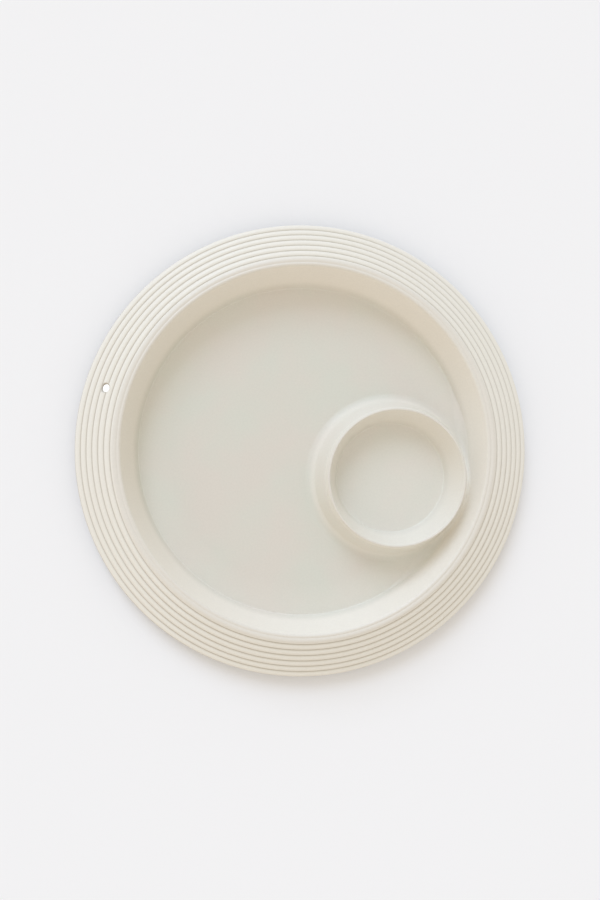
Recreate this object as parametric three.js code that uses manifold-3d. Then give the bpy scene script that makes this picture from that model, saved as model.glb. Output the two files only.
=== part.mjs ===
// Chip and dip platter: a round platter with a ribbed, sloping rim and a raised collar on its floor,
// and a dip bowl that drops into the collar and lifts out.
// Millimetres, +Z up. The origin is the platter's centre, on the table that it stands on.
// A section is drawn as points (radius, height) and turned about its own upright axis.

import * as THREE from "three";
import { mergeVertices } from "three/addons/utils/BufferGeometryUtils.js";
import Module from "manifold-3d";

// Platter
const platterRadius = 180; // to the rim's outer edge
const rimWidth = 39.8; // from the lip's crest out to that edge
const wallLean = 9.9; // how far the lip's crest lies outside the foot of the wall
const wallHeight = 25; // lip's crest above the floor
const shellThickness = 4; // of the wall, and of the rim at its grooves
const floorThickness = 5;
const rimLift = 8.5; // rim's outer edge above the table
const ribCount = 7;
const ribHeight = 1.7; // above the grooves
const wallFillet = 2; // where the floor turns up into the wall
const footHeight = 6.2; // foot ring under the floor
const footWidth = 6;
const footInset = 8; // foot ring's outer side, in from the foot of the wall

// Hanging hole, upright through the rim
const holeDiameter = 6;
const holeInset = 20.8; // its centre, in from the rim's outer edge
const holeBearing = 162.3; // degrees anticlockwise from +X

// Dip bowl
const bowlRimRadius = 51.8; // to the crest of its rim
const bowlHeight = 26;
const bowlWallLean = 8.6; // how far the rim's crest lies outside the inner floor
const bowlThickness = 2.4; // of its wall
const bowlFloorThickness = 4.2;
const bowlRimRound = 1; // radius of the narrow rim
const bowlFillet = 2; // where the inner floor turns up into the wall
const bowlBearing = -16.2; // degrees anticlockwise from +X

// Collar on the platter's floor: its outer slope carries on down from the bowl's rim, and runs into the wall
const collarDrop = 5.3; // its top, below the top of the bowl
const collarSpread = 9.7; // how far outside the bowl's rim its slope would meet the floor
const collarOverlap = 3.4; // how far that circle runs into the foot of the wall
const collarFlare = 6; // round between the slope and the floor
const saddleRound = 5.5; // round between the slope and the wall
const flareFade = 24; // along the foot of the wall, until the round there is the plain fillet

// Room between the bowl and the platter
const seatGap = 0.3; // under the bowl's foot, and under its rim
const wellPlay = 0.4; // beside the bowl's wall

// Facets
const platterFacets = 72;
const bowlFacets = 56;
const landFacets = 144;
const holeFacets = 24;
const ribSteps = 4;
const roundSteps = 5;
const slopeSteps = 3;
const flareSteps = 7;
const fadeSteps = 12;
const halvings = 40;

// Small distances that keep the faces of joined solids from lying in one plane
const wallBite = 0.3; // collar's solid into the wall
const landSink = 0.02; // collar's land below the open floor
const mergeDistance = 1e-4;

const radians = THREE.MathUtils.degToRad;
const lerp = THREE.MathUtils.lerp;
const smoothstep = THREE.MathUtils.smoothstep;

function pointAt(centre, distance, angle) {
  return new THREE.Vector2(centre.x + distance * Math.cos(angle), centre.y + distance * Math.sin(angle));
}

function arc(centre, radius, fromAngle, toAngle, steps) {
  const points = [];
  for (let step = 0; step <= steps; step += 1) {
    points.push(pointAt(centre, radius, lerp(fromAngle, toAngle, step / steps)));
  }
  return points;
}

// Slope of the inner wall: it leaves the floor's corner and touches the round crest on its inner side
function wallAngle(shell) {
  const rise = new THREE.Vector2().subVectors(shell.crest, shell.corner);
  return rise.angle() + Math.asin(shell.crestRound / rise.length());
}

// Which way the outer slope faces: it touches the round crest and the round edge, which may differ in size
function slopeFacing(shell) {
  const fall = new THREE.Vector2().subVectors(shell.edge, shell.crest);
  const turn = Math.asin((shell.edgeRound - shell.crestRound) / fall.length());
  return fall.angle() - 2 * Math.PI + Math.PI / 2 + turn;
}

// From the middle of the floor up the wall and over the crest
function innerSide(shell) {
  const wall = wallAngle(shell);
  const filletStart = shell.corner.x - shell.fillet * Math.tan(wall / 2);
  const filletCentre = new THREE.Vector2(filletStart, shell.corner.y + shell.fillet);
  return [
    new THREE.Vector2(0, shell.corner.y),
    ...arc(filletCentre, shell.fillet, -Math.PI / 2, wall - Math.PI / 2, roundSteps),
    ...arc(shell.crest, shell.crestRound, wall + Math.PI / 2, slopeFacing(shell), roundSteps),
  ];
}

// Radius of the wall's back at a height
function wallBackRadius(shell, height) {
  const wall = wallAngle(shell);
  return shell.corner.x + shell.thickness / Math.sin(wall) + (height - shell.corner.y) / Math.tan(wall);
}

// Round beads side by side, from one end of the slope to the other
function beads(start, end, count, height, steps) {
  const pitch = start.distanceTo(end) / count;
  const halfAngle = 2 * Math.atan((2 * height) / pitch);
  const radius = pitch / 2 / Math.sin(halfAngle);
  const outward = new THREE.Vector2().subVectors(end, start).angle() + Math.PI / 2;
  const points = [];
  for (let bead = 0; bead < count; bead += 1) {
    const middle = new THREE.Vector2().lerpVectors(start, end, (bead + 0.5) / count);
    const centre = pointAt(middle, height - radius, outward);
    points.push(...arc(centre, radius, outward + halfAngle, outward - halfAngle, steps).slice(1));
  }
  return points.slice(0, -1);
}

function turned(section, facets) {
  return new THREE.LatheGeometry([...section].reverse(), facets).rotateX(Math.PI / 2);
}

const wasm = await Module();
wasm.setup();

function solidOf(geometry) {
  const bare = geometry.clone();
  bare.deleteAttribute("normal");
  bare.deleteAttribute("uv");
  const merged = mergeVertices(bare, mergeDistance);
  const mesh = new wasm.Mesh({
    numProp: 3,
    vertProperties: new Float32Array(merged.attributes.position.array),
    triVerts: new Uint32Array(merged.index.array),
  });
  return new wasm.Manifold(mesh);
}

function geometryOf(solid) {
  const mesh = solid.getMesh();
  const geometry = new THREE.BufferGeometry();
  geometry.setAttribute("position", new THREE.BufferAttribute(mesh.vertProperties, 3));
  geometry.setIndex(new THREE.BufferAttribute(mesh.triVerts, 1));
  geometry.computeVertexNormals();
  return geometry;
}

// What the two pieces share
const floorTop = footHeight + floorThickness;
const lipRadius = platterRadius - rimWidth;
const floorRadius = lipRadius - wallLean;

const platterShell = {
  corner: new THREE.Vector2(floorRadius, floorTop),
  crest: new THREE.Vector2(lipRadius, floorTop + wallHeight - shellThickness / 2),
  edge: new THREE.Vector2(platterRadius - shellThickness / 2, rimLift + shellThickness / 2),
  crestRound: shellThickness / 2,
  edgeRound: shellThickness / 2,
  thickness: shellThickness,
  fillet: wallFillet,
};

const bowlFoot = floorTop + seatGap;
const bowlTop = bowlFoot + bowlHeight;
const collarRadius = bowlRimRadius + collarSpread;
const bowlShell = {
  corner: new THREE.Vector2(bowlRimRadius - bowlWallLean, bowlFoot + bowlFloorThickness),
  crest: new THREE.Vector2(bowlRimRadius, bowlTop - bowlRimRound),
  edge: new THREE.Vector2(collarRadius, floorTop),
  crestRound: bowlRimRound,
  edgeRound: 0,
  thickness: bowlThickness,
  fillet: bowlFillet,
};
const collarTop = bowlTop - collarDrop;
const collarFacing = slopeFacing(bowlShell);
const bowlDistance = floorRadius + collarOverlap - collarRadius;
const bowlPlace = pointAt(new THREE.Vector2(), bowlDistance, radians(bowlBearing));

// Radius of the collar's outer slope at a height, which the bowl's rim carries on above it
function slopeRadius(height) {
  return collarRadius - (height - floorTop) * Math.tan(collarFacing);
}

// Distance from two surfaces that a round joins, from the distance to each
function roundJoin(first, second, radius) {
  const short = Math.hypot(Math.max(radius - first, 0), Math.max(radius - second, 0));
  return Math.max(radius, Math.min(first, second)) - short;
}

// Height of the land round the collar: slope, flare to the floor, and saddle to the wall
function landHeight(place) {
  const fromCollar = place.distanceTo(bowlPlace) - collarRadius;
  const fromWall = floorRadius + wallBite - place.length();
  const wall = wallAngle(platterShell);
  const fade = smoothstep(fromCollar, collarFlare, collarFlare + flareFade);
  const floorRound = lerp(collarFlare, wallFillet, fade);
  const distance = (rise) => {
    const fromSlope = fromCollar * Math.cos(collarFacing) + rise * Math.sin(collarFacing);
    const fromWallFace = fromWall * Math.sin(wall) + rise * Math.cos(wall);
    return roundJoin(roundJoin(fromSlope, fromWallFace, saddleRound), rise, floorRound);
  };
  let low = -floorThickness;
  let high = lerp(collarTop - floorTop, floorRound, smoothstep(fromCollar, 0, collarFlare));
  if (distance(high) > 0) {
    for (let step = 0; step < halvings; step += 1) {
      const middle = (low + high) / 2;
      if (distance(middle) > 0) {
        high = middle;
      } else {
        low = middle;
      }
    }
  }
  return floorTop + high - landSink;
}

function spread(from, to, steps) {
  return Array.from({ length: steps }, (_, step) => lerp(from, to, (step + 1) / steps));
}

// The collar as a round block with that land on top, cut off inside the wall
function makeCollar() {
  const topRadius = slopeRadius(collarTop);
  const slopeEnd = collarRadius - collarFlare / 4;
  const flareEnd = collarRadius + collarFlare;
  const radii = [
    topRadius / 2,
    topRadius,
    ...spread(topRadius, slopeEnd, slopeSteps),
    ...spread(slopeEnd, flareEnd, flareSteps),
    ...spread(flareEnd, flareEnd + flareFade, fadeSteps),
  ];
  const root = floorTop - floorThickness / 2;
  const positions = [bowlPlace.x, bowlPlace.y, collarTop - landSink, bowlPlace.x, bowlPlace.y, root];
  const indices = [];
  const bottomRow = radii.length;
  const vertexAt = (row, step) => 2 + row * landFacets + (step % landFacets);
  for (let row = 0; row <= bottomRow; row += 1) {
    for (let step = 0; step < landFacets; step += 1) {
      const radius = radii[Math.min(row, bottomRow - 1)];
      const place = pointAt(bowlPlace, radius, (step / landFacets) * 2 * Math.PI);
      positions.push(place.x, place.y, row < bottomRow ? landHeight(place) : root);
      if (row > 0) {
        indices.push(vertexAt(row - 1, step), vertexAt(row, step), vertexAt(row, step + 1));
        indices.push(vertexAt(row - 1, step), vertexAt(row, step + 1), vertexAt(row - 1, step + 1));
      }
    }
  }
  for (let step = 0; step < landFacets; step += 1) {
    indices.push(0, vertexAt(0, step), vertexAt(0, step + 1));
    indices.push(1, vertexAt(bottomRow, step + 1), vertexAt(bottomRow, step));
  }
  const block = new THREE.BufferGeometry();
  block.setAttribute("position", new THREE.Float32BufferAttribute(positions, 3));
  block.setIndex(indices);

  const wall = wallAngle(platterShell);
  const middleOfWall = (height) => (
    floorRadius + (height - floorTop) / Math.tan(wall) + shellThickness / 2 / Math.sin(wall)
  );
  const inside = turned([
    new THREE.Vector2(0, bowlTop),
    new THREE.Vector2(middleOfWall(bowlTop), bowlTop),
    new THREE.Vector2(middleOfWall(0), 0),
    new THREE.Vector2(0, 0),
  ], platterFacets);
  return solidOf(block).intersect(solidOf(inside));
}

function makeWell() {
  const section = [
    new THREE.Vector2(0, bowlTop),
    new THREE.Vector2(wallBackRadius(bowlShell, bowlTop) + wellPlay, bowlTop),
    new THREE.Vector2(wallBackRadius(bowlShell, floorTop) + wellPlay, floorTop),
    new THREE.Vector2(0, floorTop),
  ];
  return solidOf(turned(section, bowlFacets).translate(bowlPlace.x, bowlPlace.y, 0));
}

function makePlatter() {
  const half = shellThickness / 2;
  const wall = wallAngle(platterShell);
  const outward = slopeFacing(platterShell);
  const slopeStart = pointAt(platterShell.crest, half, outward);
  const slopeEnd = pointAt(platterShell.edge, half, outward);
  const wallBack = wall - Math.PI / 2;
  const slopeBack = outward - Math.PI;
  const underLipDistance = half / Math.cos((wallBack - slopeBack) / 2);
  const footOuter = floorRadius - footInset;
  const footInner = footOuter - footWidth;
  const section = [
    ...innerSide(platterShell),
    ...beads(slopeStart, slopeEnd, ribCount, ribHeight, ribSteps),
    ...arc(platterShell.edge, half, outward, outward - Math.PI, roundSteps),
    pointAt(platterShell.crest, underLipDistance, (wallBack + slopeBack) / 2),
    new THREE.Vector2(wallBackRadius(platterShell, footHeight), footHeight),
    new THREE.Vector2(footOuter, footHeight),
    new THREE.Vector2(footOuter, 0),
    new THREE.Vector2(footInner, 0),
    new THREE.Vector2(footInner, footHeight),
    new THREE.Vector2(0, footHeight),
  ];

  const holePlace = pointAt(new THREE.Vector2(), platterRadius - holeInset, radians(holeBearing));
  const holeLength = 2 * (floorTop + wallHeight);
  const hole = new THREE.CylinderGeometry(holeDiameter / 2, holeDiameter / 2, holeLength, holeFacets)
    .rotateX(Math.PI / 2)
    .translate(holePlace.x, holePlace.y, 0);

  const shell = solidOf(turned(section, platterFacets)).subtract(solidOf(hole));
  const solid = shell.add(makeCollar()).subtract(makeWell());
  const glaze = new THREE.MeshStandardMaterial({ color: 0xe7e1d4, roughness: 0.55, metalness: 0 });
  const platter = new THREE.Mesh(geometryOf(solid), glaze);
  platter.name = "platter";
  return platter;
}

function makeDipBowl() {
  const ledge = collarTop + seatGap;
  const section = [
    ...innerSide(bowlShell),
    new THREE.Vector2(slopeRadius(ledge), ledge),
    new THREE.Vector2(wallBackRadius(bowlShell, ledge), ledge),
    new THREE.Vector2(wallBackRadius(bowlShell, bowlFoot), bowlFoot),
    new THREE.Vector2(0, bowlFoot),
  ];
  const solid = solidOf(turned(section, bowlFacets));
  const glaze = new THREE.MeshStandardMaterial({ color: 0xe9e4d8, roughness: 0.5, metalness: 0 });
  const bowl = new THREE.Mesh(geometryOf(solid), glaze);
  bowl.name = "dip_bowl";
  bowl.position.set(bowlPlace.x, bowlPlace.y, 0);
  return bowl;
}

const chipAndDip = new THREE.Group();
chipAndDip.add(makePlatter(), makeDipBowl());

export default chipAndDip;
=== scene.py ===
import math
import bpy
from mathutils import Matrix, Vector


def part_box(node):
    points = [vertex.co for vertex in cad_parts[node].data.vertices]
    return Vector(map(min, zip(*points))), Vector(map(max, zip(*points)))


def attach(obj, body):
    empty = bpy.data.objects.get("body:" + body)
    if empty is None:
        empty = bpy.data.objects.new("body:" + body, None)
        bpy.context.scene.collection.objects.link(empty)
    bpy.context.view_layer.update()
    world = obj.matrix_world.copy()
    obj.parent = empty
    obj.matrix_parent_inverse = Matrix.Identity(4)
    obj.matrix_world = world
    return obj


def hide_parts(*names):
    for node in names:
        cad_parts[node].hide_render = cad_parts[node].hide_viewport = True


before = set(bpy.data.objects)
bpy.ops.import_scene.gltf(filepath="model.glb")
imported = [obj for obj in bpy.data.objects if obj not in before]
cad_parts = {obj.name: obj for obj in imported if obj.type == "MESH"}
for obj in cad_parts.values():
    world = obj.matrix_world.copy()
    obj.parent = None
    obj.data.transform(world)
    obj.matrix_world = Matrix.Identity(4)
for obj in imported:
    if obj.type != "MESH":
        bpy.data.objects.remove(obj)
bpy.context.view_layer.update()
mm = 0.001
weldDistance = 0.002 * mm
cornerReach = 0.01 * mm  # how near a vertex has to be to count as a named corner
crispAngle = math.radians(38)  # edges that turn more than this stay crisp
print("frame loaded:", ", ".join(sorted(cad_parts)))


# Small helpers

def linearColour(hexText):  # sRGB hex to the linear colour that a socket takes
    channels = [int(hexText[i:i + 2], 16) / 255 for i in (1, 3, 5)]
    return [c / 12.92 if c <= 0.04045 else ((c + 0.055) / 1.055) ** 2.4 for c in channels] + [1]


def addNode(tree, kind, settings, links):  # both name a property or a socket, by name or number
    node = tree.nodes.new(kind)
    for name, value in settings.items():
        if isinstance(name, int) or name in node.inputs:
            node.inputs[name].default_value = value
        else:
            setattr(node, name, value)
    for name, source in links.items():
        tree.links.new(source, node.inputs[name])
    return node


def noiseAt(tree, place, size, detail):  # size in millimetres
    settings = {"Scale": 1 / (size * mm), "Detail": detail}
    return addNode(tree, "ShaderNodeTexNoise", settings, {"Vector": place}).outputs[0]


def ramp(tree, value, ends, results=(0, 1), curve="LINEAR"):
    settings = {"interpolation_type": curve, 1: ends[0], 2: ends[1], 3: results[0], 4: results[1]}
    return addNode(tree, "ShaderNodeMapRange", settings, {0: value}).outputs[0]


def blend(tree, share, colours):  # each colour is a hex text or a socket
    settings, links = {"data_type": "RGBA"}, {0: share}
    for socket, colour in zip((6, 7), colours):
        if isinstance(colour, str):
            settings[socket] = linearColour(colour)
        else:
            links[socket] = colour
    return addNode(tree, "ShaderNodeMix", settings, links).outputs[2]


def calculate(tree, operation, values):  # each value is a number or a socket
    settings, links = {"operation": operation}, {}
    for socket, value in enumerate(values):
        if isinstance(value, (int, float)):
            settings[socket] = value
        else:
            links[socket] = value
    return addNode(tree, "ShaderNodeMath", settings, links).outputs[0]


def distanceFrom(tree, place, point):
    settings = {"operation": "DISTANCE", 1: point}
    return addNode(tree, "ShaderNodeVectorMath", settings, {0: place}).outputs["Value"]


def selectOnly(piece):
    bpy.ops.object.select_all(action="DESELECT")
    piece.select_set(True)
    bpy.context.view_layer.objects.active = piece


def pointAt(centre, distance, angle):
    return (centre[0] + distance * math.cos(angle), centre[1] + distance * math.sin(angle))


def arcPoints(centre, radius, fromAngle, toAngle, steps):
    turn = (toAngle - fromAngle) / steps
    return [pointAt(centre, radius, fromAngle + turn * step) for step in range(steps + 1)]


def sectionPlaces(axisPlace, points):  # from radius and height in millimetres to places beside the axis
    return [Vector((axisPlace[0] + radius * mm, axisPlace[1], height * mm)) for radius, height in points]


def drawSection(name, axisPlace, points):
    # a small plane merged to one vertex is the pen, and the section is pulled out of it point by point
    bpy.ops.object.select_all(action="DESELECT")
    bpy.ops.mesh.primitive_plane_add(size=mm)
    piece = bpy.context.active_object
    piece.name = piece.data.name = name
    places = sectionPlaces(axisPlace, points)
    bpy.ops.object.mode_set(mode="EDIT")
    bpy.ops.mesh.select_mode(type="VERT")
    bpy.ops.mesh.merge(type="CENTER")
    bpy.ops.transform.translate(value=places[0])
    for last, place in zip(places, places[1:]):
        bpy.ops.mesh.extrude_vertices_move(TRANSFORM_OT_translate={"value": place - last})
    return piece


def roundCorners(piece, axisPlace, corners, size, segments):  # while the piece is still a section
    bpy.ops.mesh.select_all(action="DESELECT")
    bpy.ops.object.mode_set(mode="OBJECT")
    places = sectionPlaces(axisPlace, corners)
    for vertex in piece.data.vertices:
        vertex.select = any((vertex.co - place).length < cornerReach for place in places)
    bpy.ops.object.mode_set(mode="EDIT")
    bpy.ops.mesh.bevel(affect="VERTICES", offset_type="OFFSET", offset=size * mm, segments=segments)


def spinSection(piece, axisPlace, steps):
    bpy.ops.mesh.select_all(action="SELECT")
    bpy.ops.mesh.spin(steps=steps, angle=math.tau, center=(*axisPlace, 0), axis=(0, 0, 1))
    bpy.ops.mesh.select_all(action="SELECT")
    bpy.ops.mesh.remove_doubles(threshold=weldDistance)  # closes the seam and the poles
    bpy.ops.mesh.normals_make_consistent(inside=False)
    bpy.ops.object.mode_set(mode="OBJECT")


def applyModifier(piece, kind, settings):
    selectOnly(piece)
    modifier = piece.modifiers.new(kind.title(), kind)
    for name, value in settings.items():
        setattr(modifier, name, value)
    bpy.ops.object.modifier_apply(modifier=modifier.name)


def joinTool(piece, operation, tool):  # adds, cuts away or keeps what the tool covers, and throws the tool away
    applyModifier(piece, "BOOLEAN", {"operation": operation, "object": tool, "solver": "EXACT"})
    bpy.data.objects.remove(tool)


def finishSurface(piece):  # smooth over the rounds, crisp at real edges, flats kept flat
    selectOnly(piece)
    bpy.ops.object.mode_set(mode="EDIT")
    bpy.ops.mesh.select_all(action="SELECT")
    bpy.ops.mesh.remove_doubles(threshold=weldDistance)  # corners that a cut has left double
    bpy.ops.object.mode_set(mode="OBJECT")
    bpy.ops.object.shade_smooth_by_angle(angle=crispAngle)
    applyModifier(piece, "WEIGHTED_NORMAL", {"mode": "FACE_AREA", "weight": 50, "keep_sharp": True})


# Platter

platterSizes = {  # millimetres, as the solids have them, with softer edges
    "radius": 180, "rimWidth": 39.8, "wallLean": 9.9, "wallHeight": 25, "shell": 4, "floor": 5,
    "fillet": 1.4, "rimLift": 8.5, "ribs": 7, "ribHeight": 1.7, "grooveRound": 0.3, "grooveSegments": 4,
    "footHeight": 6.2, "footWidth": 6, "footInset": 8, "footRound": 0.9, "footSegments": 5,
    "backRound": 3.5, "backSegments": 8, "turns": 288, "ribSteps": 12, "roundSteps": 14,
    "holeDiameter": 6, "holeInset": 20.8, "holeBearing": 162.3, "holeTurns": 40,
    # spool that cuts the hole, wider underneath: lower or upper face of the rim, height from it, added radius
    "holeSpool": [(-1, -3, 3.96), (-1, 0, 2.2), (-1, 0.5, 1.76), (1, -0.6, 0), (1, 0.3, 0.3), (1, 0.7, 0.7),
                  (1, 3, 1.54)],
}
halfShell = platterSizes["shell"] / 2
floorTop = platterSizes["footHeight"] + platterSizes["floor"]
lipRadius = platterSizes["radius"] - platterSizes["rimWidth"]
floorRadius = lipRadius - platterSizes["wallLean"]
lipCentre = (lipRadius, floorTop + platterSizes["wallHeight"] - halfShell)
edgeCentre = (platterSizes["radius"] - halfShell, platterSizes["rimLift"] + halfShell)
rimSlope = math.atan2(lipCentre[1] - edgeCentre[1], edgeCentre[0] - lipCentre[0])  # below level, outwards
platterAxis = (0, 0)

# the bowl's sizes come first too, since the platter's collar is made to fit it
bowlLow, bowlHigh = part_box("dip_bowl")
bowlAxis = ((bowlLow.x + bowlHigh.x) / 2, (bowlLow.y + bowlHigh.y) / 2)
bowlFoot, bowlTop = bowlLow.z / mm, bowlHigh.z / mm
bowlSizes = {
    "rimRadius": 51.8, "rimRound": 1, "lean": 8.6, "shell": 2.4, "floor": 4.2, "fillet": 1.4,
    "seamRound": 0.35, "footRound": 1, "edgeSegments": 5, "turns": 192, "roundSteps": 14,
}
collarSizes = {  # the collar's slope carries on down from the bowl's rim
    "drop": 5.3, "spread": 9.7, "flare": 6, "saddle": 5.5, "fade": 24, "edgeRound": 0.6,
    "wallBite": 0.1, "sink": 0.02, "seatGap": 0.3, "wellPlay": 0.4,
    "turns": 360, "slopeSteps": 26, "flareSteps": 34, "fadeSteps": 40, "halvings": 30,
}
collarRadius = bowlSizes["rimRadius"] + collarSizes["spread"]  # where the slope would meet the floor
collarTop = bowlTop - collarSizes["drop"]
rimCentre = (bowlSizes["rimRadius"], bowlTop - bowlSizes["rimRound"])
bowlCorner = (bowlSizes["rimRadius"] - bowlSizes["lean"], bowlFoot + bowlSizes["floor"])
slopeFall = (collarRadius - rimCentre[0], floorTop - rimCentre[1])
slopeTurn = math.asin(bowlSizes["rimRound"] / math.hypot(*slopeFall))
collarFacing = math.atan2(slopeFall[1], slopeFall[0]) + math.pi / 2 - slopeTurn  # above level


def tangentWall(corner, crest, crestRound):  # slope of a wall from the floor's corner to the round crest
    rise = (crest[0] - corner[0], crest[1] - corner[1])
    return math.atan2(rise[1], rise[0]) + math.asin(crestRound / math.hypot(*rise))


platterWall = tangentWall((floorRadius, floorTop), lipCentre, halfShell)
bowlWall = tangentWall(bowlCorner, rimCentre, bowlSizes["rimRound"])


def slopeRadius(height):  # of the collar's outer slope, which the bowl's rim carries on
    return collarRadius - (height - floorTop) * math.tan(collarFacing)


def bowlBack(height):  # radius of the back of the bowl's wall
    thickness = bowlSizes["shell"] / math.sin(bowlWall)
    return bowlCorner[0] + thickness + (height - bowlCorner[1]) / math.tan(bowlWall)


def smoothStep(share):
    share = min(max(share, 0), 1)
    return share * share * (3 - 2 * share)


def roundJoin(first, second, radius):  # distance from two surfaces joined by a round, from the distance to each
    short = math.hypot(max(radius - first, 0), max(radius - second, 0))
    return max(radius, min(first, second)) - short


def landRise(x, y, sizes):
    # height above the floor of the land round the collar: rounded top, slope, flare, and saddle up to the wall
    fromCollar = math.hypot(x - bowlAxis[0] / mm, y - bowlAxis[1] / mm) - collarRadius
    fromWall = floorRadius + sizes["wallBite"] - math.hypot(x, y)
    fade = smoothStep((fromCollar - sizes["flare"]) / sizes["fade"])
    floorRound = sizes["flare"] + (platterSizes["fillet"] - sizes["flare"]) * fade
    cap = collarTop - floorTop
    low = -platterSizes["floor"] / 2
    high = cap + (floorRound - cap) * smoothStep(fromCollar / sizes["flare"])
    for halving in range(sizes["halvings"]):
        rise = (low + high) / 2
        fromSlope = fromCollar * math.cos(collarFacing) + rise * math.sin(collarFacing)
        fromSlope = -roundJoin(-fromSlope, cap - rise, sizes["edgeRound"])
        fromWallFace = fromWall * math.sin(platterWall) + rise * math.cos(platterWall)
        if roundJoin(roundJoin(fromSlope, fromWallFace, sizes["saddle"]), rise, floorRound) > 0:
            high = rise
        else:
            low = rise
    return high - sizes["sink"]


def ribPoints(start, end, sizes):
    pitch = math.dist(start, end) / sizes["ribs"]
    halfAngle = 2 * math.atan(2 * sizes["ribHeight"] / pitch)
    radius = pitch / 2 / math.sin(halfAngle)
    outward = math.atan2(end[1] - start[1], end[0] - start[0]) + math.pi / 2
    points = []
    valleys = [start]
    for rib in range(sizes["ribs"]):
        share = (rib + 0.5) / sizes["ribs"]
        middle = (start[0] + (end[0] - start[0]) * share, start[1] + (end[1] - start[1]) * share)
        centre = pointAt(middle, sizes["ribHeight"] - radius, outward)
        points += arcPoints(centre, radius, outward + halfAngle, outward - halfAngle, sizes["ribSteps"])[1:]
        valleys.append(points[-1])
    return points, valleys


def makeCollar(sizes):
    # a flat round block with many rings, its top then raised to the land, and cut off inside the wall
    slopeStart = slopeRadius(collarTop) - 3 * sizes["edgeRound"]
    slopeEnd = collarRadius - sizes["flare"] / 4
    flareEnd = collarRadius + sizes["flare"]
    stretches = [
        (slopeStart, slopeEnd, sizes["slopeSteps"]), (slopeEnd, flareEnd, sizes["flareSteps"]),
        (flareEnd, flareEnd + sizes["fade"], sizes["fadeSteps"]),
    ]
    radii = [bowlBack(floorTop), slopeStart]
    for start, end, steps in stretches:
        radii += [start + (end - start) * step / steps for step in range(1, steps + 1)]
    root = floorTop - platterSizes["floor"] / 2
    section = [(0, floorTop)] + [(radius, floorTop) for radius in radii] + [(radii[-1], root), (0, root)]
    collar = drawSection("collar", bowlAxis, section)
    spinSection(collar, bowlAxis, sizes["turns"])
    for vertex in collar.data.vertices:
        if vertex.co.z > (root + floorTop) / 2 * mm:
            vertex.co.z = (floorTop + landRise(vertex.co.x / mm, vertex.co.y / mm, sizes)) * mm

    middle = floorRadius + halfShell / math.sin(platterWall)  # of the wall's thickness, at the floor
    insideTop = middle + (bowlTop - floorTop) / math.tan(platterWall)
    insideFoot = middle - floorTop / math.tan(platterWall)
    outline = [(0, bowlTop), (insideTop, bowlTop), (insideFoot, 0), (0, 0)]
    inside = drawSection("inside", platterAxis, outline)
    spinSection(inside, platterAxis, platterSizes["turns"])
    joinTool(collar, "INTERSECT", inside)
    return collar


def makeWell(sizes):  # the hollow that the bowl drops into
    rims = [(bowlBack(height) + sizes["wellPlay"], height) for height in (bowlTop, floorTop)]
    well = drawSection("well", bowlAxis, [(0, bowlTop)] + rims + [(0, floorTop)])
    spinSection(well, bowlAxis, bowlSizes["turns"])
    return well


def makeHoleSpool(sizes):  # an upright spool whose flared ends lie along the rim's slope
    bearing = math.radians(sizes["holeBearing"])
    distance = sizes["radius"] - sizes["holeInset"]
    height = lipCentre[1] - (distance - lipCentre[0]) * math.tan(rimSlope)
    place = Vector((distance * math.cos(bearing), distance * math.sin(bearing), height)) * mm
    rise = halfShell / math.cos(rimSlope)  # from the middle of the rim's thickness to its face, upright
    holeRadius = sizes["holeDiameter"] / 2
    loops = [(face * rise + offset, holeRadius + wider) for face, offset, wider in sizes["holeSpool"]]
    bpy.ops.object.select_all(action="DESELECT")
    bpy.ops.mesh.primitive_circle_add(
        vertices=sizes["holeTurns"], radius=loops[0][1] * mm, fill_type="NGON", location=(0, 0, 0))
    spool = bpy.context.active_object
    bpy.ops.object.mode_set(mode="EDIT")
    bpy.ops.mesh.select_all(action="SELECT")
    bpy.ops.transform.translate(value=(0, 0, loops[0][0] * mm))
    for last, loop in zip(loops, loops[1:]):
        bpy.ops.mesh.extrude_region_move(TRANSFORM_OT_translate={"value": (0, 0, (loop[0] - last[0]) * mm)})
        spread = loop[1] / last[1]
        bpy.ops.transform.resize(value=(spread, spread, 1))
    bpy.ops.mesh.select_all(action="SELECT")
    bpy.ops.mesh.normals_make_consistent(inside=False)
    bpy.ops.object.mode_set(mode="OBJECT")
    lean = Matrix.Identity(4)
    lean[2][0] = -math.tan(rimSlope)  # the flared ends follow the slope and the bore stays upright
    spool.data.transform(Matrix.Translation(place) @ Matrix.Rotation(bearing, 4, "Z") @ lean)
    return spool


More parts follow.
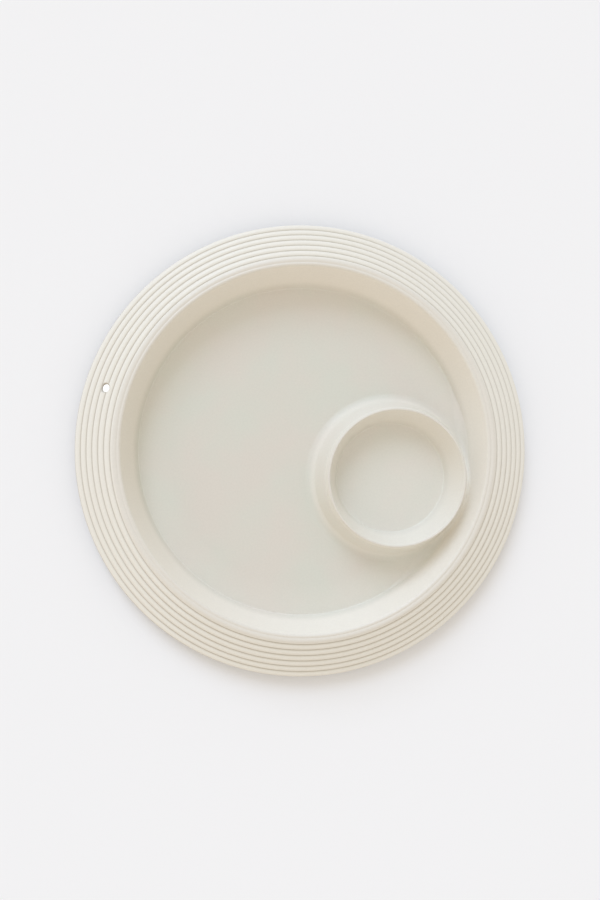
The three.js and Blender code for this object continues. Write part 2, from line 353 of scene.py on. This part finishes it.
def makePlatter(sizes):
    outward = math.pi / 2 - rimSlope
    fillet = sizes["fillet"]
    filletCentre = (floorRadius - fillet * math.tan(platterWall / 2), floorTop + fillet)
    ribStart, ribEnd = pointAt(lipCentre, halfShell, outward), pointAt(edgeCentre, halfShell, outward)
    ribs, valleys = ribPoints(ribStart, ribEnd, sizes)

    # underside: back of the rim, back of the wall, heel and foot ring
    underFloor = sizes["footHeight"]
    wallBack = platterWall - math.pi / 2
    slopeBack = outward - math.pi
    underLip = pointAt(lipCentre, halfShell / math.cos((wallBack - slopeBack) / 2), (wallBack + slopeBack) / 2)
    wallBackTop = pointAt(lipCentre, halfShell, wallBack)
    heel = (wallBackTop[0] - (wallBackTop[1] - underFloor) / math.tan(platterWall), underFloor)
    footOuter = floorRadius - sizes["footInset"]
    footInner = footOuter - sizes["footWidth"]
    footRoots = [(footOuter, underFloor), (footInner, underFloor)]
    footEdges = [(footOuter, 0), (footInner, 0)]

    steps = sizes["roundSteps"]
    section = [(0, floorTop)]
    section += arcPoints(filletCentre, fillet, -math.pi / 2, wallBack, steps)
    section += arcPoints(lipCentre, halfShell, platterWall + math.pi / 2, outward, steps)
    section += ribs
    section += arcPoints(edgeCentre, halfShell, outward, slopeBack, steps)[1:]
    section += [underLip, heel, footRoots[0], footEdges[0], footEdges[1], footRoots[1], (0, underFloor)]
    platter = drawSection("platter_glazed", platterAxis, section)
    roundCorners(platter, platterAxis, valleys[:-1], sizes["grooveRound"], sizes["grooveSegments"])
    roundCorners(platter, platterAxis, [underLip, heel], sizes["backRound"], sizes["backSegments"])
    roundCorners(platter, platterAxis, footRoots + footEdges, sizes["footRound"], sizes["footSegments"])
    spinSection(platter, platterAxis, sizes["turns"])

    joinTool(platter, "UNION", makeCollar(collarSizes))
    joinTool(platter, "DIFFERENCE", makeWell(collarSizes))
    joinTool(platter, "DIFFERENCE", makeHoleSpool(sizes))
    finishSurface(platter)
    return platter


platter = makePlatter(platterSizes)
print("platter:", len(platter.data.polygons), "faces")


# Dip bowl

def makeDipBowl(sizes):
    fillet = sizes["fillet"]
    filletCentre = (bowlCorner[0] - fillet * math.tan(bowlWall / 2), bowlCorner[1] + fillet)
    ledge = collarTop + collarSizes["seatGap"]
    seam = (slopeRadius(ledge), ledge)
    underRim = (bowlBack(ledge), ledge)
    heel = (bowlBack(bowlFoot), bowlFoot)

    steps = sizes["roundSteps"]
    section = [(0, bowlCorner[1])]
    section += arcPoints(filletCentre, fillet, -math.pi / 2, bowlWall - math.pi / 2, steps)
    section += arcPoints(rimCentre, sizes["rimRound"], bowlWall + math.pi / 2, collarFacing, steps)
    section += [seam, underRim, heel, (0, bowlFoot)]
    bowl = drawSection("dip_bowl_glazed", bowlAxis, section)
    roundCorners(bowl, bowlAxis, [seam], sizes["seamRound"], sizes["edgeSegments"])
    roundCorners(bowl, bowlAxis, [heel], sizes["footRound"], sizes["edgeSegments"])
    spinSection(bowl, bowlAxis, sizes["turns"])
    finishSurface(bowl)
    return bowl


bowl = makeDipBowl(bowlSizes)
print("dip bowl:", len(bowl.data.polygons), "faces")


# Materials

platterGlaze = {  # sRGB colours; sizes in millimetres
    "name": "satin_ivory_glaze_on_cast_stoneware", "axis": platterAxis, "foot": 0, "ior": 1.5,
    # raised: walls, collar and the flats next to the walls painted paler, painted light against their shade
    "floorWarm": "#d8d2c7", "floorCool": "#d4d4c8", "raised": "#ece7dc", "crest": "#dfdacf",
    # rimGroove darker and rimCrest paler: partly thin glaze, partly painted shade in the grooves and painted
    # highlight on the crests
    "rimGroove": "#cdc7ba", "rimCrest": "#e7e3d8", "clay": "#c4b196",
    "floorEdge": floorRadius, "paleFrom": 0.8, "paleShare": 0.3, "wallBlend": 3,
    # crest and crestBand: a darker band along the top edge, partly thin glaze and partly painted shade
    "top": floorTop + platterSizes["wallHeight"], "crestBand": 1.6,
    "driftSize": 55, "driftRange": (0.36, 0.64), "patchSize": 9, "patchRange": (0.3, 0.7),
    "waveSize": 18, "waveHeight": 0.05,
    "grainSize": 1.6, "grainHeight": 0.006, "grainRange": (0.25, 0.75), "grainTones": (0.982, 1.018),
    "bareTo": 0.1, "glazedFrom": 0.4, "lineWander": 0.5, "roughness": (0.42, 0.54), "clayRoughness": 0.9,
    "ribs": {"edge": lipRadius, "slope": rimSlope, "height": lipCentre[1], "lift": halfShell, "blend": 1,
             "thinHighlightFrom": platterSizes["ribHeight"] * 0.1, "thinHighlightTo": platterSizes["ribHeight"] * 0.6},
    "collar": {"axis": bowlAxis, "paleTo": collarRadius - collarSizes["flare"] * 0.15,
               "plainFrom": collarRadius + collarSizes["flare"] * 0.6, "share": 0.55},
}
bowlGlaze = {
    **platterGlaze, "name": "satin_ivory_glaze_on_cast_bowl", "axis": bowlAxis, "foot": bowlFoot,
    # raised: the bowl's walls painted paler, painted light against their shade
    "floorWarm": "#ddd7cd", "floorCool": "#dad8cd", "raised": "#e6e2d7", "crest": "#dbd6cb",
    # crest: the bowl's top edge darker, partly thin glaze and partly painted shade
    "floorEdge": bowlCorner[0], "top": bowlTop - bowlFoot, "crestBand": 0.9, "driftSize": 38,
    "ribs": None, "collar": None,
}


def makeGlaze(glaze):
    # satin ivory glaze on cast stoneware: broad soft highlights, a milky drift of warm and cool tones on the
    # flats, walls painted paler (painted light), ribs and top edge partly thin glaze and partly painted shade
    # and highlight, a faint eggshell surface, and dry clay where the foot is wiped
    material = bpy.data.materials.new(glaze["name"])
    material.use_nodes = True
    tree = material.node_tree
    shader = tree.nodes["Principled BSDF"]
    shader.inputs["IOR"].default_value = glaze["ior"]

    place = addNode(tree, "ShaderNodeTexCoord", {}, {}).outputs["Object"]
    corner = (-glaze["axis"][0], -glaze["axis"][1], -glaze["foot"] * mm)
    centred = addNode(tree, "ShaderNodeMapping", {"Location": corner}, {"Vector": place}).outputs[0]
    height = addNode(tree, "ShaderNodeSeparateXYZ", {}, {0: centred}).outputs["Z"]
    flatten = {"operation": "MULTIPLY", 1: (1, 1, 0)}
    level = addNode(tree, "ShaderNodeVectorMath", flatten, {0: centred}).outputs[0]
    radius = distanceFrom(tree, level, (0, 0, 0))

    # flats: two close tones that drift into each other
    drift = ramp(tree, noiseAt(tree, place, glaze["driftSize"], 3), glaze["driftRange"])
    flats = blend(tree, drift, (glaze["floorWarm"], glaze["floorCool"]))

    # painted light: the flats grow paler towards the walls, against the walls' shadow, and the walls are paler
    # still, against their shade
    edge = glaze["floorEdge"] * mm
    outer = ramp(tree, radius, (edge * glaze["paleFrom"], edge), (0, glaze["paleShare"]))
    flats = blend(tree, outer, (flats, glaze["raised"]))
    upright = ramp(tree, radius, (edge, edge + glaze["wallBlend"] * mm), curve="SMOOTHSTEP")
    walls = blend(tree, upright, (flats, glaze["raised"]))

    # painted light: the collar is painted nearly as pale as the walls
    if glaze["collar"]:
        collar = glaze["collar"]
        away = distanceFrom(tree, level, (*collar["axis"], 0))
        ends = (collar["paleTo"] * mm, collar["plainFrom"] * mm)
        onCollar = ramp(tree, away, ends, (collar["share"], 0), "SMOOTHSTEP")
        walls = blend(tree, onCollar, (walls, glaze["raised"]))

    # over the ribs the grooves are darker and the crests paler: partly glaze that runs thin over the crests and
    # gathers in the grooves, partly painted shade in the grooves and painted highlight on the crests
    if glaze["ribs"]:
        ribs = glaze["ribs"]
        across, up = math.sin(ribs["slope"]), math.cos(ribs["slope"])
        grooveLine = (ribs["edge"] * across + ribs["height"] * up + ribs["lift"]) * mm
        outwards = calculate(tree, "MULTIPLY_ADD", (radius, across, -grooveLine))
        aboveGroove = calculate(tree, "MULTIPLY_ADD", (height, up, outwards))
        thinGlazeAndHighlight = ramp(tree, aboveGroove, (ribs["thinHighlightFrom"] * mm, ribs["thinHighlightTo"] * mm), curve="SMOOTHSTEP")
        ribbed = blend(tree, thinGlazeAndHighlight, (glaze["rimGroove"], glaze["rimCrest"]))
        onRim = ramp(tree, radius, (ribs["edge"] * mm, (ribs["edge"] + ribs["blend"]) * mm))
        walls = blend(tree, onRim, (walls, ribbed))

    # top edge: a darker band, partly glaze that runs thin over the round top, partly painted shade on the
    # bright line the round top catches
    top = glaze["top"] * mm
    crest = ramp(tree, height, (top - glaze["crestBand"] * mm, top), curve="SMOOTHSTEP")
    edges = blend(tree, crest, (walls, glaze["crest"]))

    # grain of the dried slip: finer in life, drawn two pixels wide so that it shows
    grain = noiseAt(tree, place, glaze["grainSize"], 2)
    grainTone = ramp(tree, grain, glaze["grainRange"], glaze["grainTones"])
    darken = {"data_type": "RGBA", "blend_type": "MULTIPLY", 0: 1}
    glazed = addNode(tree, "ShaderNodeMix", darken, {6: edges, 7: grainTone}).outputs[2]

    # bare clay on the foot, up to an uneven glaze line
    patches = noiseAt(tree, place, glaze["patchSize"], 2)
    lineHeight = calculate(tree, "MULTIPLY_ADD", (patches, -glaze["lineWander"] * mm, height))
    bare = ramp(tree, lineHeight, (glaze["bareTo"] * mm, glaze["glazedFrom"] * mm), (1, 0))
    colour = blend(tree, bare, (glazed, glaze["clay"]))
    tree.links.new(colour, shader.inputs["Base Color"])

    satin = ramp(tree, patches, glaze["patchRange"], glaze["roughness"])
    roughness = addNode(tree, "ShaderNodeMix", {3: glaze["clayRoughness"]}, {0: bare, 2: satin}).outputs[0]
    tree.links.new(roughness, shader.inputs["Roughness"])

    # slow waves left by the mould, and eggshell
    waves = noiseAt(tree, place, glaze["waveSize"], 1)
    wavy = addNode(tree, "ShaderNodeBump", {"Distance": glaze["waveHeight"] * mm}, {"Height": waves}).outputs[0]
    fine = {"Distance": glaze["grainHeight"] * mm}
    eggshell = addNode(tree, "ShaderNodeBump", fine, {"Height": grain, "Normal": wavy}).outputs[0]
    tree.links.new(eggshell, shader.inputs["Normal"])
    return material


for piece, glaze in ((platter, platterGlaze), (bowl, bowlGlaze)):
    piece.data.materials.clear()
    piece.data.materials.append(makeGlaze(glaze))
print("glazes made")


# Floor, light and camera

stageSettings = {  # metres and degrees; the lights add up to plain white on the open floor
    "floorSize": 30, "floorColour": "#f2f2f2", "roomColour": "#e2ddd5", "lampDistance": 2,
    "lamps": [  # azimuth anticlockwise from +X
        {"name": "window", "azimuth": 110, "elevation": 35, "angle": 30, "level": 0.43, "colour": "#cee2ff"},
        {"name": "window_side", "azimuth": 112, "elevation": 36, "angle": 110, "level": 0.1,
         "colour": "#cee2ff"},
        {"name": "warm_wall", "azimuth": 240, "elevation": 30, "angle": 80, "level": 0.11, "colour": "#ffe4d4"},
    ],
    "holeSpot": (-0.15776, 0.05209, 0), "holeSpotEdge": (0.005, 0.0058),
    "holeLook": (0.9, 0.94),  # sine of the steepness of a look down through the hole
}

bpy.ops.object.select_all(action="DESELECT")
bpy.ops.mesh.primitive_plane_add(size=stageSettings["floorSize"], location=(0, 0, 0))
floorSheet = bpy.context.active_object
floorSheet.name = "floor_sheet"
floorMaterial = bpy.data.materials.new("pale_paper_sweep")  # matt paper, no shine
floorMaterial.use_nodes = True
floorTree = floorMaterial.node_tree
floorShader = floorTree.nodes["Principled BSDF"]
floorShader.inputs["Base Color"].default_value = linearColour(stageSettings["floorColour"])
floorShader.inputs["Roughness"].default_value = 1
floorShader.inputs["Specular IOR Level"].default_value = 0
floorShader.inputs["Emission Color"].default_value = (1, 1, 1, 1)
# painted light: the bit of paper under the hanging hole glows for a camera that looks steeply down on it, so
# that the hole looks bright though the paper lies in the rim's shade
floorPlace = addNode(floorTree, "ShaderNodeTexCoord", {}, {}).outputs["Object"]
fromSpot = distanceFrom(floorTree, floorPlace, stageSettings["holeSpot"])
inSpot = ramp(floorTree, fromSpot, stageSettings["holeSpotEdge"], (1, 0))
rays = addNode(floorTree, "ShaderNodeLightPath", {}, {}).outputs["Is Camera Ray"]
backwards = addNode(floorTree, "ShaderNodeNewGeometry", {}, {}).outputs["Incoming"]
steepness = addNode(floorTree, "ShaderNodeSeparateXYZ", {}, {0: backwards}).outputs["Z"]
steep = ramp(floorTree, steepness, stageSettings["holeLook"])
steepRays = calculate(floorTree, "MULTIPLY", (steep, rays))
spotLight = calculate(floorTree, "MULTIPLY", (inSpot, steepRays))
floorTree.links.new(spotLight, floorShader.inputs["Emission Strength"])
floorSheet.data.materials.append(floorMaterial)

world = bpy.data.worlds.new("soft_room")
bpy.context.scene.world = world
world.use_nodes = True
background = world.node_tree.nodes["Background"]
background.inputs["Color"].default_value = linearColour(stageSettings["roomColour"])

for lampSettings in stageSettings["lamps"]:
    azimuth, elevation = math.radians(lampSettings["azimuth"]), math.radians(lampSettings["elevation"])
    sideways = math.cos(elevation)
    towards = Vector((math.cos(azimuth) * sideways, math.sin(azimuth) * sideways, math.sin(elevation)))
    bpy.ops.object.light_add(type="SUN", location=towards * stageSettings["lampDistance"])
    lamp = bpy.context.active_object
    lamp.name = lampSettings["name"]
    lamp.rotation_euler = (-towards).to_track_quat("-Z", "Y").to_euler()
    lamp.data.color = linearColour(lampSettings["colour"])[:3]
    lamp.data.energy = lampSettings["level"] * math.pi
    lamp.data.angle = math.radians(lampSettings["angle"])

cameraSettings = {  # millimetres; the shift is a share of the picture's long side
    "place": (-42.99, -17.55, 434.36), "aim": (-29.91, -24.73, 4), "lens": 21.25, "sensor": 36, "nearest": 10,
    "shiftX": 0.0392, "shiftY": 0.0371,
}
bpy.ops.object.camera_add(location=Vector(cameraSettings["place"]) * mm)
camera = bpy.context.active_object
camera.name = "photo_view"
forward = (Vector(cameraSettings["aim"]) - Vector(cameraSettings["place"])).normalized()
right = forward.cross(Vector((0, 1, 0))).normalized()
camera.rotation_euler = Matrix((right, right.cross(forward), -forward)).transposed().to_euler()
camera.data.lens = cameraSettings["lens"]
camera.data.sensor_width = cameraSettings["sensor"]
camera.data.shift_x = cameraSettings["shiftX"]
camera.data.shift_y = cameraSettings["shiftY"]
camera.data.clip_start = cameraSettings["nearest"] * mm
bpy.context.scene.camera = camera
bpy.context.scene.view_settings.view_transform = "Standard"
print("stage, light and camera set")


# Hand over to the frame

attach(platter, "platter")
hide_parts("platter")
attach(bowl, "dip_bowl")
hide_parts("dip_bowl")
